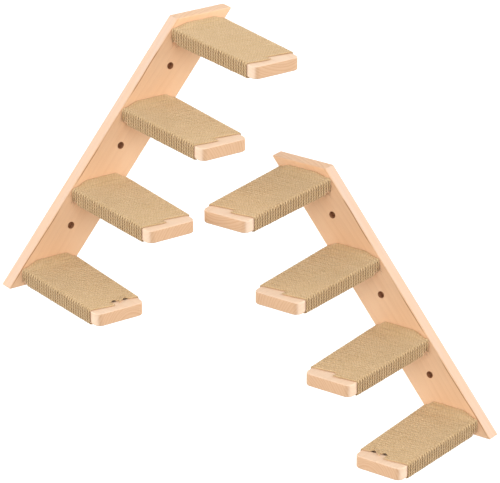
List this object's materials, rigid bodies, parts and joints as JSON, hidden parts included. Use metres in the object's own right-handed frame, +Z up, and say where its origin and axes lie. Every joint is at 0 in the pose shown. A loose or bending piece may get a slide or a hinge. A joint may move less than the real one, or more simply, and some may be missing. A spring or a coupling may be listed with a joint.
{
  "type": "wall mounted cat steps",
  "caption": "Handed pair of wall-hung cat ladders: leaning pine boards with cantilevered treads wound in jute, for two walls that meet at a corner.",
  "frame": {"origin": "the left unit's middle wall-screw hole, on the wall plane", "axes": "+Z up; +Y out of the back of the left unit's board into its wall, so the left treads stand out towards -Y; +X along the left wall, the way the board leans"},
  "size_m": [0.5623, 0.5164, 0.575],
  "materials": {
    "pine": "planed and clear coated, satin",
    "jute": "wound thin jute cord, matt",
    "screw_steel": "zinc plated"
  },
  "bodies": {
    "root": {"left_backboard": "pine", "left_tread_1": "pine", "left_jute_wrap_1": "jute", "left_tread_1_screws": "screw_steel", "left_tread_2": "pine", "left_jute_wrap_2": "jute", "left_tread_2_screws": "screw_steel", "left_tread_3": "pine", "left_jute_wrap_3": "jute", "left_tread_3_screws": "screw_steel", "left_tread_4": "pine", "left_jute_wrap_4": "jute", "left_tread_4_screws": "screw_steel", "right_backboard": "pine", "right_tread_1": "pine", "right_jute_wrap_1": "jute", "right_tread_1_screws": "screw_steel", "right_tread_2": "pine", "right_jute_wrap_2": "jute", "right_tread_2_screws": "screw_steel", "right_tread_3": "pine", "right_jute_wrap_3": "jute", "right_tread_3_screws": "screw_steel", "right_tread_4": "pine", "right_jute_wrap_4": "jute", "right_tread_4_screws": "screw_steel"}
  },
  "joints": []
}
